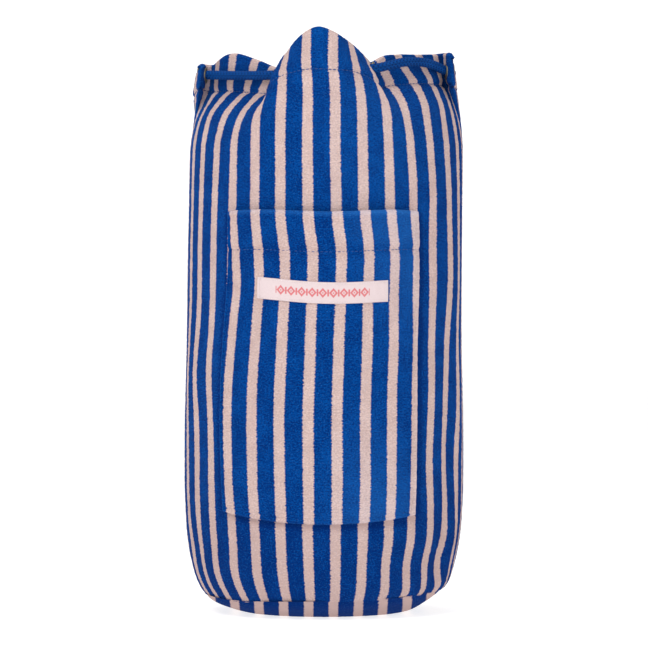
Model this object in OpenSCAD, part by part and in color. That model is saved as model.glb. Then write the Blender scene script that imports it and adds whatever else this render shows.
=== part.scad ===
// Drawstring barrel bag in striped towelling, standing on its round base.
// +Z is up, the front with the pocket faces -Y, and the origin is the middle of the base on the floor.
// Angles round the bag run from the front centre (0) towards +X.

/* [Bag] */
// Height of the rim above the highest front fold's eyelets
eyelet_drop = 11; // [10:1:16]
// Height that the drawcord runs at
cord_z = 378; // [370:1:382]
// Thickness of the towelling
cloth_t = 2.2; // [1.6:0.1:2.6]
// Depth of the turned-in hem at the mouth
hem_w = 28; // [24:1:34]
// Radius of the flat disc that stands on the floor
foot_r = 58; // [50:1:60]

/* [Pocket] */
// Angle that the pocket spans round the wall
pocket_angle = 83; // [60:1:90]
// Height of the pocket's top edge
pocket_top = 278; // [260:1:290]
// Height of the pocket's bottom edge
pocket_bottom = 67; // [60:1:90]
// Depth of the pocket's own turned-in hem
pocket_hem_w = 26; // [20:1:30]
// Angle that the woven label spans
label_angle = 53; // [40:1:60]
// Height of the label's lower edge
label_z = 217; // [190:1:225]
// Width of the label's ribbon
label_w = 16; // [12:1:18]

/* [Cord and eyelets] */
// Diameter of the braided drawcord
cord_d = 6.5; // [5:0.5:6.5]
// Bore of each eyelet
eyelet_d = 8; // [7.5:0.5:8.5]
// Outer diameter of each eyelet's flange
flange_d = 13; // [12:0.5:14]

/* [Cord lock] */
// Height of the cord lock's middle
lock_z = 338; // [320:1:340]
// Distance of the two hanging cords from the bag's axis
lock_y = 113; // [112:1:116]
// Travel of the lock's push button
button_travel = 3; // [2:0.5:3]

/* [Hidden] */
$fn = 64;

// Outside radius of the filled bag by height
body_profile = [[13, 84], [22, 88.6], [36, 93], [50, 95.8], [79, 98.2], [114, 98.8], [192, 97.4],
    [278, 96.4], [340, 95.4], [380, 93]];
// The gathered mouth: each eyelet's place in plan, its height, and what the cloth does up to the next one
eyelet_plan = [[35, -62], [87, 0], [35, 62], [-35, 62], [-87, 0], [-35, -62]];
eyelet_lift = [0, 4, -1, -1, 0, -4];
span_bulge = [0, 23, 0, 23, 0, 32];
span_rise = [3, 6, 6, 6, 6, 17];
span_angle = 60;
first_eyelet = 30;
fold_depth = 11;
fold_relief = 5;
gather_from = 322;
gather_to = 380;
// Rings of the wall: [height, share of the rim's height, extra inset]
hole_half = 4.9;
hole_angle = 3.1;
columns_per_span = 12;
columns = 6 * columns_per_span;
thread = 0.8;
wall_rows = concat([for (z = [13, 22, 36, 50, 79, 114, 192, 278, 322, 334, 345, 352]) [z, 0, 0]],
    [[-hem_w, 1, 0], [-hem_w + thread, 1, 0], [-eyelet_drop - hole_half, 1, 0],
        [-eyelet_drop + hole_half, 1, 0], [0, 1, 0]]);
hole_row = len(wall_rows) - 3;
gap = 0.3;
facing_t = 1.1;
lining_t = 0.9;
// Base
seam_r = 84;
seam_z = 12.6;
base_arc = ((seam_r - foot_r) * (seam_r - foot_r) + seam_z * seam_z) / (2 * seam_z);
// Pocket and label: how far the pocket stands off the wall by height
pocket_off = [[0, 0.6], [190, 0.6], [250, 2], [300, 2.6]];
pocket_t = 2.4;
label_t = 0.7;
// Cord lock
lock_w = 30;
lock_h = 16;
lock_depth = 22;
lock_wall = 3.3;
cord_pitch = 8.8;
lock_bore = 7.4;
grip_gap = 0.15;
button_out = 5;
plunger_wall = 2;
slide_clear = 0.2;
coil_wire = 0.8;
coil_r = 3.6;
coil_turns = 4;
lock_back = lock_y - cord_d / 2 - grip_gap - plunger_wall - 5.5 - 2.5;
lock_front = lock_back + lock_depth;
plunger_back = lock_back + 8;
slot_back = plunger_back + plunger_wall;
slot_front = lock_y + cord_d / 2 + button_travel + grip_gap;
// Route of the drawcord from the left back eyelet round the front to the right back eyelet
cord_half = [[0, -60, 376], [15, -60.5, 376.5], [28, -61.5, 377], [35, -62, 378], [42, -58, 378.5],
    [52, -44, 380], [62, -31, 381], [74, -16.5, 382], [82, -6, 382], [85.5, 1, 382], [83, 9, 381.5],
    [74, 20, 380], [61, 35, 379], [48, 50, 378], [40, 58, 377], [35, 61.5, 377]];
cord_left = [[-35, 61.5, 377], [-40, 58, 377], [-48, 50, 377], [-61, 35, 378], [-74, 20, 378],
    [-83, 9, 378], [-85.5, 1, 378], [-82, -6, 378], [-74, -16.5, 377], [-62, -31, 376],
    [-52, -44, 375], [-42, -58, 374.5], [-35, -62, 374], [-28, -61.5, 374], [-15, -60.5, 375]];
cord_route = concat(cord_left, cord_half);
// Route of the right tail; the left one mirrors it and ends higher
tail_route = [[35, 61.5, 377], [29, 69, 378.5], [22, 80, 379.5], [16, 91, 379], [11, 101, 376],
    [7, 108.5, 370], [5, 112, 362], [4.4, 113, 353], [4.4, 113, 338], [4.4, 113, 320],
    [4.4, 113, 300], [4.4, 113, 280], [4.4, 113, 250], [5.5, 113, 232], [8, 113, 214],
    [10.5, 113, 196], [11.5, 113, 178]];
tail_end_right = 178;
tail_end_left = 190;
knot_r = 7;
knot_h = 15;
knot_stub = 11;

function smooth(t) = t * t * (3 - 2 * t);
function clamp01(t) = max(0, min(1, t));
function unit(v) = v / norm(v);
function mix(a, b, t) = a + (b - a) * t;
function span_of(a) = floor((a - first_eyelet + 360) / span_angle) % 6;
function span_t(a) = ((a - first_eyelet + 360) / span_angle) - floor((a - first_eyelet + 360) / span_angle);
function eyelet_z(k) = cord_z + eyelet_lift[k % 6];

// Height of the rim at an angle
function rim_z(a) =
    let (k = span_of(a), t = span_t(a))
    mix(eyelet_z(k), eyelet_z(k + 1), smooth(t)) + eyelet_drop + span_rise[k] * pow(sin(180 * t), 2);

// Depth of the cloth behind a stretch of cord that runs outside
function fold(t) = fold_depth * (1 - pow(abs(2 * t - 1), 4)) - fold_relief * pow(sin(180 * t), 4);

// Plan of the gathered mouth at an angle
function mouth_plan(a) =
    let (k = span_of(a), t = span_t(a), p = eyelet_plan[k], q = eyelet_plan[(k + 1) % 6],
        d = unit(q - p), out = [d[1], -d[0]])
    span_bulge[k] > 0
        ? (p + q) / 2 - (q - p) / 2 * cos(180 * t) + out * span_bulge[k] * sin(180 * t)
        : mix(p, q, t) - out * fold(t);

// Plan of the wall at an angle and a height: round below, gathered above
function wall_plan(a, z) =
    mix(lookup(z, body_profile) * [sin(a), -cos(a)], mouth_plan(a),
        smooth(clamp01((z - gather_from) / (gather_to - gather_from))));

// A point of the wall, moved inwards by an inset
function wall_point(a, z, inset) =
    let (p = wall_plan(a, z), d = unit(wall_plan(a + 1, z) - wall_plan(a - 1, z)))
    [p[0] - inset * d[1], p[1] + inset * d[0], z];

// Angle of each column: the cells between hole_angle either side of an eyelet hold its hole
function column_angle(i) =
    let (k = floor(i / columns_per_span), j = i % columns_per_span)
    first_eyelet + span_angle * k + hole_angle
        + j * (span_angle - 2 * hole_angle) / (columns_per_span - 1);

// A closed sheet between two insets of the wall, over rows of rings, with or without the eyelet holes
module wall_sheet(rows, outer, inner, holes = false) {
    n = len(rows);
    grid = [for (inset = [outer, inner]) for (r = rows) for (i = [0:columns - 1])
        let (a = column_angle(i), z = r[0] + r[1] * rim_z(a)) wall_point(a, z, inset + r[2])];
    function at(side, j, i) = side * n * columns + j * columns + i % columns;
    function is_hole(j, i) = holes && j == n - 3 && i % columns_per_span == columns_per_span - 1;
    outer_faces = [for (j = [0:n - 2]) for (i = [0:columns - 1]) if (!is_hole(j, i))
        each [[at(0, j, i), at(0, j + 1, i), at(0, j + 1, i + 1)],
            [at(0, j, i), at(0, j + 1, i + 1), at(0, j, i + 1)]]];
    inner_faces = [for (j = [0:n - 2]) for (i = [0:columns - 1]) if (!is_hole(j, i))
        each [[at(1, j, i), at(1, j + 1, i + 1), at(1, j + 1, i)],
            [at(1, j, i), at(1, j, i + 1), at(1, j + 1, i + 1)]]];
    edges = [for (i = [0:columns - 1])
        each [[at(0, n - 1, i), at(1, n - 1, i), at(1, n - 1, i + 1)],
            [at(0, n - 1, i), at(1, n - 1, i + 1), at(0, n - 1, i + 1)],
            [at(0, 0, i), at(1, 0, i + 1), at(1, 0, i)],
            [at(0, 0, i), at(0, 0, i + 1), at(1, 0, i + 1)]]];
    hole_edges = [for (j = [0:n - 2]) for (i = [0:columns - 1]) if (is_hole(j, i))
        let (ring = [[j, i], [j, i + 1], [j + 1, i + 1], [j + 1, i]])
        for (s = [0:3])
        let (p = ring[s], q = ring[(s + 1) % 4])
        each [[at(0, p[0], p[1]), at(1, q[0], q[1]), at(0, q[0], q[1])],
            [at(0, p[0], p[1]), at(1, p[0], p[1]), at(1, q[0], q[1])]]];
    polyhedron(grid, concat(outer_faces, inner_faces, edges, hole_edges));
}

// A band that follows the body's profile over an arc centred on an angle
module wall_band(middle, arc, heights, outer, inner) {
    rotate([0, 0, middle - 90 - arc / 2])
        rotate_extrude(angle = arc, $fn = 96)
            polygon(concat([for (z = heights) [lookup(z, body_profile) + outer(z), z]],
                [for (i = [len(heights) - 1:-1:0])
                    [lookup(heights[i], body_profile) + inner(heights[i]), heights[i]]]));
}

// A round cord swept through a list of points
module cord_tube(points, reference, diameter, sides = 8) {
    n = len(points);
    function along(i) = unit(points[min(i + 1, n - 1)] - points[max(i - 1, 0)]);
    function across(i) = unit(cross(along(i), reference));
    ring = [for (i = [0:n - 1]) for (s = [0:sides - 1])
        points[i] + diameter / 2 * (across(i) * cos(360 * s / sides)
            + cross(along(i), across(i)) * sin(360 * s / sides))];
    polyhedron(ring, concat(
        [[for (s = [0:sides - 1]) s]],
        [for (i = [0:n - 2]) for (s = [0:sides - 1])
            let (p = i * sides + s, q = i * sides + (s + 1) % sides)
            each [[p, p + sides, q + sides], [p, q + sides, q]]],
        [[for (s = [sides - 1:-1:0]) (n - 1) * sides + s]]));
}

// Places its children at an eyelet, with +Z pointing out of the cloth
module at_eyelet(k) {
    a = first_eyelet + span_angle * k;
    z = eyelet_z(k);
    p = wall_plan(a - hole_angle, z);
    q = wall_plan(a + hole_angle, z);
    d = unit(q - p);
    translate([(p[0] + q[0]) / 2, (p[1] + q[1]) / 2, z])
        rotate([0, 90, atan2(-d[0], d[1])])
            children();
}

module stadium(w, h) {
    square([w - h, h], center = true);
    for (side = [-1, 1])
        translate([side * (w - h) / 2, 0])
            circle(d = h);
}

// Extrudes a plan of the lock from one distance behind the bag to another
module lock_block(from, to) {
    translate([0, to, lock_z])
        rotate([90, 0, 0])
            linear_extrude(to - from)
                children();
}

module wall_panel() {
    color([0.12, 0.30, 0.56])
        wall_sheet(wall_rows, 0, cloth_t, true);
}

module back_seam() {
    color([0.08, 0.24, 0.50])
        wall_band(180, 5, [16, 22, 36, 50, 79, 114, 192, 278, 318],
            function(z) gap + 1.3, function(z) gap);
}

module mouth_facing() {
    color([0.12, 0.30, 0.56])
        wall_sheet([[-hem_w, 1, 0], [-eyelet_drop - hole_half, 1, 0],
            [-eyelet_drop + hole_half, 1, 0], [-0.6, 1, 0]],
            cloth_t + gap, cloth_t + gap + facing_t, true);
}

module hem_stitching() {
    color([0.25, 0.42, 0.66])
        wall_sheet([[-hem_w, 1, 0], [-hem_w + thread, 1, 0]], -gap - thread, -gap);
}

// A ring of the domed base between two distances inside its outer surface
module base_shell(outer, inner, to_angle) {
    steps = 8;
    arc_points = function(d) [for (s = [0:steps])
        let (a = to_angle * s / steps)
        [foot_r + (base_arc - d) * sin(a), min(base_arc - (base_arc - d) * cos(a), seam_z)]];
    low = arc_points(outer);
    high = arc_points(inner);
    rotate_extrude($fn = 96)
        polygon(concat([[0, outer]], low, [for (s = [steps:-1:0]) high[s]], [[0, inner]]));
}

module base_panel() {
    color([0.12, 0.30, 0.56])
        base_shell(0, cloth_t, asin((seam_r - foot_r) / base_arc));
}

module base_binding() {
    color([0.75, 0.78, 0.82])
        rotate_extrude($fn = 96)
            translate([80.6, 13.2])
                square([1.2, 4.2]);
}

module base_stitching() {
    color([0.25, 0.42, 0.66])
        wall_sheet([[14.4, 0, 0], [14.4 + thread, 0, 0]], -gap - thread, -gap);
}

module lining_wall() {
    color([0.86, 0.86, 0.84])
        wall_sheet([[13.6, 0, 1.9], [18, 0, 3.4], [24, 0, 0], [50, 0, 0], [114, 0, 0], [192, 0, 0],
            [278, 0, 0], [322, 0, 0], [338, 0, 0], [352, 0, 0], [-hem_w - 0.6, 1, 0]],
            cloth_t + 0.5, cloth_t + 0.5 + lining_t);
}

module lining_base() {
    color([0.86, 0.86, 0.84])
        base_shell(cloth_t + 0.6, cloth_t + 0.6 + lining_t, 43);
}

pocket_heights = [pocket_bottom, 79, 114, 190, 250, pocket_top];
pocket_inner = function(z) lookup(z, pocket_off);
pocket_outer = function(z) lookup(z, pocket_off) + pocket_t;

module pocket_panel() {
    color([0.10, 0.28, 0.56])
        wall_band(0, pocket_angle, pocket_heights, pocket_outer, pocket_inner);
}

module pocket_hem() {
    color([0.10, 0.28, 0.56])
        wall_band(0, pocket_angle - 2, [pocket_top - pocket_hem_w, pocket_top - 1],
            function(z) lookup(z, pocket_off) - gap, function(z) 0.4);
}

module pocket_stitching() {
    proud = function(z) pocket_outer(z) + gap + thread / 2;
    under = function(z) pocket_outer(z) + gap;
    side_angle = pocket_angle / 2 - 1.8;
    foot = pocket_bottom + 4;
    hem_line = pocket_top - pocket_hem_w;
    color([0.25, 0.42, 0.66]) {
        for (side = [-1, 1])
            wall_band(side * side_angle, 0.5, [foot + 1.5, 79, 114, 190, 250, pocket_top - 3], proud, under);
        wall_band(0, 2 * side_angle, [foot, foot + thread], proud, under);
        wall_band(0, 2 * side_angle - 1.5, [hem_line, hem_line + thread], proud, under);
    }
}

module label() {
    color([0.93, 0.86, 0.86])
        wall_band(0, label_angle, [label_z, label_z + label_w],
            function(z) pocket_outer(z) + gap + label_t, function(z) pocket_outer(z) + gap);
}

module label_stitching() {
    over = function(z) pocket_outer(z) + 2 * gap + label_t + 0.4;
    under = function(z) pocket_outer(z) + 2 * gap + label_t;
    color([0.95, 0.93, 0.93])
        for (z = [label_z + 1, label_z + label_w - 1.5])
            wall_band(0, label_angle - 1.2, [z, z + 0.5], over, under);
}

module eyelets() {
    barrel = cloth_t + gap + facing_t + 1.4;
    color([0.72, 0.72, 0.70])
        for (k = [0:5])
            at_eyelet(k)
                difference() {
                    union() {
                        translate([0, 0, gap])
                            cylinder(d = flange_d, h = 1);
                        translate([0, 0, -barrel])
                            cylinder(d = eyelet_d + 1.4, h = barrel + 1);
                    }
                    translate([0, 0, -barrel - 1])
                        cylinder(d = eyelet_d, h = barrel + 3);
                }
}

module eyelet_washers() {
    back = cloth_t + gap + facing_t + gap;
    color([0.68, 0.68, 0.66])
        for (k = [0:5])
            at_eyelet(k)
                translate([0, 0, -back - 0.8])
                    difference() {
                        cylinder(d = flange_d, h = 0.8);
                        translate([0, 0, -1])
                            cylinder(d = eyelet_d + 1.6, h = 3);
                    }
}

module drawcord() {
    color([0.06, 0.24, 0.56])
        cord_tube(cord_route, [0, 0, 1], cord_d);
}

// One tail down to a height, on the side given by +1 or -1
module cord_tail(side, end_z) {
    kept = [for (p = tail_route) if (p[2] > end_z + 8) [side * p[0], p[1], p[2]]];
    color([0.06, 0.24, 0.56])
        cord_tube(concat(kept, [[side * 11.5, lock_y, end_z]]), [1, 0, 0], cord_d);
}

module knot(side, end_z) {
    color([0.05, 0.22, 0.52])
        translate([side * 11.5, lock_y, end_z]) {
            translate([0, 0, -knot_h / 2])
                intersection() {
                    scale(knot_h / 16)
                        sphere(r = 9);
                    cylinder(r = knot_r, h = knot_h, center = true);
                }
            translate([0, 0, -knot_h - knot_stub])
                cylinder(d = cord_d, h = knot_stub + 2);
        }
}

module cord_tail_left() {
    cord_tail(-1, tail_end_left);
}

module cord_tail_right() {
    cord_tail(1, tail_end_right);
}

module knot_left() {
    knot(-1, tail_end_left);
}

module knot_right() {
    knot(1, tail_end_right);
}

module lock_body() {
    color([0.10, 0.10, 0.12])
        difference() {
            lock_block(lock_back, lock_front)
                stadium(lock_w, lock_h);
            lock_block(lock_back + 2.5, lock_front + 1)
                stadium(lock_w - 2 * lock_wall, lock_h - 2 * lock_wall);
            for (side = [-1, 1])
                translate([side * cord_pitch / 2, lock_y, lock_z])
                    cylinder(d = lock_bore, h = lock_h + 2, center = true);
        }
}

module lock_plunger() {
    color([0.16, 0.16, 0.18])
        difference() {
            lock_block(plunger_back, lock_front + button_out)
                stadium(lock_w - 2 * lock_wall - 2 * slide_clear, lock_h - 2 * lock_wall - 2 * slide_clear);
            translate([0, (slot_back + slot_front) / 2, lock_z])
                cube([cord_pitch + lock_bore, slot_front - slot_back, lock_h], center = true);
        }
}

module lock_spring() {
    per_turn = 12;
    steps = coil_turns * per_turn;
    from = lock_back + 2.5 + gap + coil_wire / 2;
    to = plunger_back - gap - coil_wire / 2;
    points = [for (s = [0:steps])
        [coil_r * cos(360 * s / per_turn), mix(from, to, s / steps),
            lock_z + coil_r * sin(360 * s / per_turn)]];
    color([0.75, 0.76, 0.78])
        cord_tube(points, [0, 1, 0], coil_wire, 6);
}

wall_panel();
back_seam();
mouth_facing();
hem_stitching();
base_panel();
base_binding();
base_stitching();
lining_wall();
lining_base();
pocket_panel();
pocket_hem();
pocket_stitching();
label();
label_stitching();
eyelets();
eyelet_washers();
drawcord();
cord_tail_left();
cord_tail_right();
knot_left();
knot_right();
lock_body();
lock_plunger();
lock_spring();
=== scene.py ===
"""A striped towelling drawstring barrel bag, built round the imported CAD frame.

Lengths are in millimetres until a mesh is made, and MM turns them into metres. Angles round the bag
run from the front centre (0) towards +X, in degrees. The bag's cloth is one surface, wall(a, h): a is
the angle of a thread round the bag and h its height along the cloth above the base seam. The pocket,
label, hems and stitches are all placed on that surface, so they follow its folds."""
import math

import bpy
import numpy as np
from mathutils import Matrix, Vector


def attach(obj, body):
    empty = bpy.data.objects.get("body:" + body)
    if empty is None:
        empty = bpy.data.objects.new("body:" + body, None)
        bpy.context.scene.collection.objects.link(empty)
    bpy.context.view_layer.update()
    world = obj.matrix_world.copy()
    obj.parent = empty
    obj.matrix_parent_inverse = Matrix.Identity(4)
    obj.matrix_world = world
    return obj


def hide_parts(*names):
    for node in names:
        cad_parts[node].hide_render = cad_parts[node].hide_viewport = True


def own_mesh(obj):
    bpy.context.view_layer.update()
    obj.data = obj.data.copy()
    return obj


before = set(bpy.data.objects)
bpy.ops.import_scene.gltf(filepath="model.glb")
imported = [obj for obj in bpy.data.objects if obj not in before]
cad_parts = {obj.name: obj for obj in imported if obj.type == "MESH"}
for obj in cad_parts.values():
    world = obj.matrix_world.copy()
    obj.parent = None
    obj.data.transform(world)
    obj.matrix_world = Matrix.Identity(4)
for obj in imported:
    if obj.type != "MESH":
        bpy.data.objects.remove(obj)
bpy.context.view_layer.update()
MM = 0.001
rng = np.random.default_rng(11)

# ---------------------------------------------------------------- the bag's shape, as in the CAD part
BODY_PROFILE = np.array([(13, 84), (22, 88.6), (36, 93), (50, 95.8), (79, 98.2), (114, 98.8), (192, 97.4),
                         (278, 96.4), (340, 95.4), (380, 93)], float)
# The mouth, thread by thread: angle, then the cloth's place on the hem's stitch line and on the rim. The
# cord gathers it into a tall front lobe, two hollows where it runs outside, and two side lobes.
MOUTH = np.array([
    (-1.5, -3.0, -94.0, 376.5, -3.2, -92.0, 404.4),
    (4, 6.1, -93.3, 376, 6.4, -90.5, 401.5),
    (9.6, 14.8, -89.8, 376, 12.8, -85.5, 398.2),
    (15.25, 22.6, -84, 375, 17.8, -77, 395.5),
    (21, 29.5, -77.5, 373, 23.2, -68, 391.5),
    (26.5, 36, -71, 370, 28.8, -60, 386.5),
    (29.5, 38.2, -66, 368, 31.2, -55.5, 384),
    (32.3, 36.8, -60.5, 367, 32, -52.5, 383.5),
    (35, 39.4, -55.5, 367, 35, -51, 384.5),
    (37.75, 43.4, -51.5, 368, 39, -48, 386.8),
    (49, 60.5, -40, 370.5, 50.7, -37.5, 390),
    (60.25, 73.6, -24.5, 371.5, 66, -23, 391),
    (71.5, 81.5, -11.5, 371.5, 78, -10, 392),
    (79.3, 86.0, -3.5, 371, 83.4, -3, 393),
    (82.3, 87.0, -6, 370.6, 85.6, -5.5, 393),
    (86.6, 87.4, -14.5, 370.4, 86.8, -14, 392),
    (89.8, 90.4, -19, 370, 89.4, -18, 388.5),
    (94, 93.4, -10, 369, 91.4, -9, 383),
    (99.5, 93.8, 3.5, 366, 91, 4, 380),
    (107.5, 91, 18, 362, 88.5, 18, 383),
    (116, 85.5, 32, 361, 83.5, 31, 386.5),
    (125, 75.5, 45, 361, 74, 43.5, 387.5),
    (134, 61.5, 55, 361, 60.5, 53.5, 388),
    (143, 46, 61.5, 361, 45.5, 60, 388),
    (150, 35, 62.5, 361, 34.8, 61, 387.5),
    (157, 25, 57.5, 361, 24, 57, 390),
    (168, 12, 54, 362, 11.5, 53.5, 393.5),
    (180, 0, 53.5, 362, 0, 53, 392),
    (192, -12.5, 54, 362, -12, 53.5, 393),
    (203, -25, 57.5, 361, -24, 57, 390),
    (210, -35, 62.5, 361, -34.8, 61, 387.5),
    (217, -46, 61.5, 361, -45.5, 60, 388),
    (226, -62.5, 54.5, 361, -61.5, 53, 388),
    (234.5, -76.5, 44.5, 361, -75, 43, 387),
    (243.5, -87, 31, 362, -85, 30, 386),
    (252, -92, 16, 363, -89.5, 16.5, 380),
    (259, -92.4, 2, 364, -90.6, 2.5, 377),
    (262.8, -91, -10.5, 366, -89.2, -9.5, 379.5),
    (266.6, -88, -18.5, 367.6, -86.8, -17.5, 382.5),
    (269.6, -85, -14, 368, -84.2, -13.5, 384.5),
    (273.8, -84, -5.5, 367.8, -82.6, -4.5, 385),
    (276.2, -81.2, -4, 367.4, -79.4, -2.5, 385),
    (281, -78.6, -6.5, 367, -77.2, -5, 386),
    (285.5, -75.9, -8.5, 367, -74.4, -7, 388.4),
    (291, -71.5, -14, 367, -69.6, -14, 391),
    (296.5, -66, -20.5, 366.6, -63.7, -21, 391.6),
    (307.75, -54, -34.5, 365, -47.5, -38, 385.8),
    (319, -43, -48, 363.5, -35.5, -51.5, 380.2),
    (323, -37.5, -54, 363.2, -32, -54.5, 379.5),
    (327, -33.8, -60, 364, -29.2, -56, 380),
    (330, -36.2, -66.5, 366, -28.7, -59, 381.5),
    (333, -38, -74, 368, -29.6, -63.5, 384),
    (336, -35.2, -79, 370.5, -28.4, -67.5, 386),
    (341.5, -28.8, -84, 373, -25, -74.5, 389.5),
    (347, -20.6, -88.6, 375, -19, -81.5, 396.8),
    (352.75, -12.2, -92.2, 376.3, -11.5, -88.5, 402.3)], float)
# Eyelets, from the right front round the back: thread angle and height
EYELETS = [(31.5, 378.6), (84.4, 380.5), (150, 377), (210, 377), (271.9, 378.3), (328.8, 374.6)]
HOLE_ANGLE = 1.6
GATHER_FROM = 325
SEAM_Z = 13
SEAM_R = 84
BARREL_R = 98
HEM_W = 28
CLOTH_H = 391
HEM_H = CLOTH_H - HEM_W
STRIPE_COUNT = 32
STRIPE_ANGLE = 360 / STRIPE_COUNT
STRIPE_FIRST = 4.0
STRIPE_PITCH = 19.05


def smooth(t):
    t = np.clip(t, 0, 1)
    return t * t * (3 - 2 * t)


def mix(a, b, t):
    return a + (b - a) * t


def bump(x, middle, width):
    return np.exp(-((x - middle) / width) ** 2)


def unit(d):
    return d / np.linalg.norm(d, axis=-1, keepdims=True)


def signed(a):
    """An angle from -180 to 180."""
    return (a + 180) % 360 - 180


def circle(count):
    return np.arange(count) * 2 * np.pi / count


def crossed(a, b):
    return np.meshgrid(a, b, indexing="ij")


def curve_through(points, x):
    """A smooth curve through a few (x, y) points, by cubic pieces with averaged slopes."""
    px, py = np.asarray(points, float).T
    slope = np.gradient(py, px)
    i = np.clip(np.searchsorted(px, x) - 1, 0, len(px) - 2)
    step = px[i + 1] - px[i]
    t = np.clip((x - px[i]) / step, 0, 1)
    return ((2 * t ** 3 - 3 * t ** 2 + 1) * py[i] + (t ** 3 - 2 * t ** 2 + t) * step * slope[i]
            + (3 * t ** 2 - 2 * t ** 3) * py[i + 1] + (t ** 3 - t ** 2) * step * slope[i + 1])


ONE_TURN = np.array([360, 0, 0, 0, 0, 0, 0])
MOUTH_LOOP = np.concatenate([MOUTH[-4:] - ONE_TURN, MOUTH, MOUTH[:4] + ONE_TURN])


def mouth_point(a, first):
    """The cloth at each thread angle: on the hem's stitch line from column 1, or on the rim from column 4."""
    angle = (a + 1.5) % 360 - 1.5
    return np.stack([curve_through(MOUTH_LOOP[:, [0, k]], angle) for k in range(first, first + 3)], -1)


# Small ways in which the filled bag isn't round or straight
TWIST = [(13, 0.9), (60, 0.6), (200, 0.0), (290, -0.25), (333, -1.0), (380, -1.0)]
LEAN = [(13, 0.0), (150, 0.0), (220, 0.2), (290, 1.1), (335, 1.9), (360, 2.6), (400, 1.0)]


def turned(a, z):
    """The angle at which a thread really lies at a height: the gathers pull it to and fro."""
    b = signed(a)
    high = smooth((z - 290) / 50)
    right = -1.9 * high * smooth((b - 18) / 30) * smooth((150 - b) / 40)
    left = 1.2 * high * smooth((-b - 35) / 20) * smooth((150 + b) / 40)
    return a + curve_through(TWIST, z) + right + left


# Soft hollows and swellings of the filled cloth: how far out, then the angle and half width, then the
# height and half height
PINCHES = [(-2.6, 58, 5, 40, 26), (1.5, 67, 6, 44, 26), (-1.6, 46, 9, 255, 34), (1.2, 63, 10, 235, 40),
           (-1.5, 60, 5.5, 136, 48), (1.3, 71, 7, 128, 50), (-1.3, -58, 7, 150, 60), (-1.2, -70, 6, 40, 22),
           (-1.7, 150, 9, 210, 60), (-1.5, -140, 8, 160, 70), (1.2, -158, 9, 260, 40),
           (-1.4, 108, 8, 120, 60)]


def pinches(b, z):
    total = 0.45 * np.sin(np.radians(b * 4 + 40 - z * 0.9))
    total += 0.5 * np.sin(np.radians(b * 7 + z * 0.4)) * smooth((75 - z) / 45)
    for out, angle, width, height, reach in PINCHES:
        total += out * bump(b, angle, width) * bump(z, height, reach)
    return total


def ring_point(a, z):
    b = turned(a, z)
    low = (b + 180) % 360 - 180
    r = (curve_through(BODY_PROFILE, z) + pinches(low, z))[..., None]
    rad = np.radians(b)
    lean = np.stack([curve_through(LEAN, z), np.zeros_like(z)], -1)
    return r * np.stack([np.sin(rad), -np.cos(rad)], -1) + lean


def seam_lift(a):
    """The base seam isn't level: it dips at the left front and climbs to the right."""
    b = signed(a)
    return 4.6 * bump(b, 92, 45) - 1.6 * bump(b, -45, 30)


def wall_start(a, h):
    """The gathered cloth: round below, drawn in to the hem's stitch line, then up to the rim."""
    hem, rim = mouth_point(a, 1), mouth_point(a, 4)
    foot = SEAM_Z + seam_lift(a)
    z = foot + (hem[..., 2] - foot) * np.clip(h / HEM_H, 0, 1)
    b = signed(a)
    late = 1.85 + 1.3 * bump(b, -32, 6) + 1.1 * bump(b, 32, 5)
    gather = np.clip((z - GATHER_FROM) / (hem[..., 2] - GATHER_FROM), 0, 1) ** late
    below = np.concatenate([mix(ring_point(a, z), hem[..., :2], gather[..., None]), z[..., None]], -1)
    up = np.clip((h - HEM_H) / HEM_W, 0, 1)[..., None]
    return below + (rim - hem) * up


# ---------------------------------------------------------------- the cloth surface
GRID_A, GRID_H = 480, 180


grid = wall_start(*crossed(np.arange(GRID_A) * 360 / GRID_A, np.linspace(0, CLOTH_H, GRID_H)))


def cubic_weights(t):
    return np.stack([-t + 2 * t ** 2 - t ** 3, 2 - 5 * t ** 2 + 3 * t ** 3,
                     t + 4 * t ** 2 - 3 * t ** 3, -t ** 2 + t ** 3], -1) / 2


def wall(a, h):
    """Points of the cloth's outer face."""
    a, h = np.broadcast_arrays(np.asarray(a, float), np.asarray(h, float))
    x = (a % 360) / 360 * GRID_A
    y = np.clip(h / CLOTH_H, 0, 1) * (GRID_H - 1)
    i, j = np.floor(x).astype(int), np.minimum(np.floor(y).astype(int), GRID_H - 2)
    wx, wy = cubic_weights(x - i), cubic_weights(y - j)
    total = np.zeros(a.shape + (3,))
    for m in range(4):
        for n in range(4):
            row = np.clip(j + n - 1, 0, GRID_H - 1)
            total += (wx[..., m] * wy[..., n])[..., None] * grid[(i + m - 1) % GRID_A, row]
    return total


def on_wall(a, h, out=0.0, lift=0.0):
    """Points that stand out of the cloth by out and are moved up along it by lift."""
    a, h = np.asarray(a, float), np.asarray(h, float)
    da, dh = 0.6, 1.2
    up = wall(a, np.minimum(h + dh, CLOTH_H)) - wall(a, np.maximum(h - dh, 0))
    normal = unit(np.cross(wall(a + da, h) - wall(a - da, h), up))
    return wall(a, h) + normal * np.asarray(out)[..., None] + unit(up) * np.asarray(lift)[..., None]


def height_of(a, z):
    """Heights along the cloth at which threads pass the heights z above the floor."""
    h = (z - SEAM_Z) * HEM_H / (365 - SEAM_Z)
    for _ in range(4):
        h = np.clip(h + (z - wall(a, h)[..., 2]), 0, CLOTH_H)
    return h


def eyelet_place(k):
    """Centre and outward normal of an eyelet."""
    a, z = EYELETS[k]
    angles = np.array([a - HOLE_ANGLE, a, a + HOLE_ANGLE])
    p = wall(angles, height_of(angles, np.full(3, float(z))))
    return (p[0] + p[1] * 2 + p[2]) / 4, unit(np.cross(p[2] - p[0], [0, 0, 1.0]))


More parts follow.
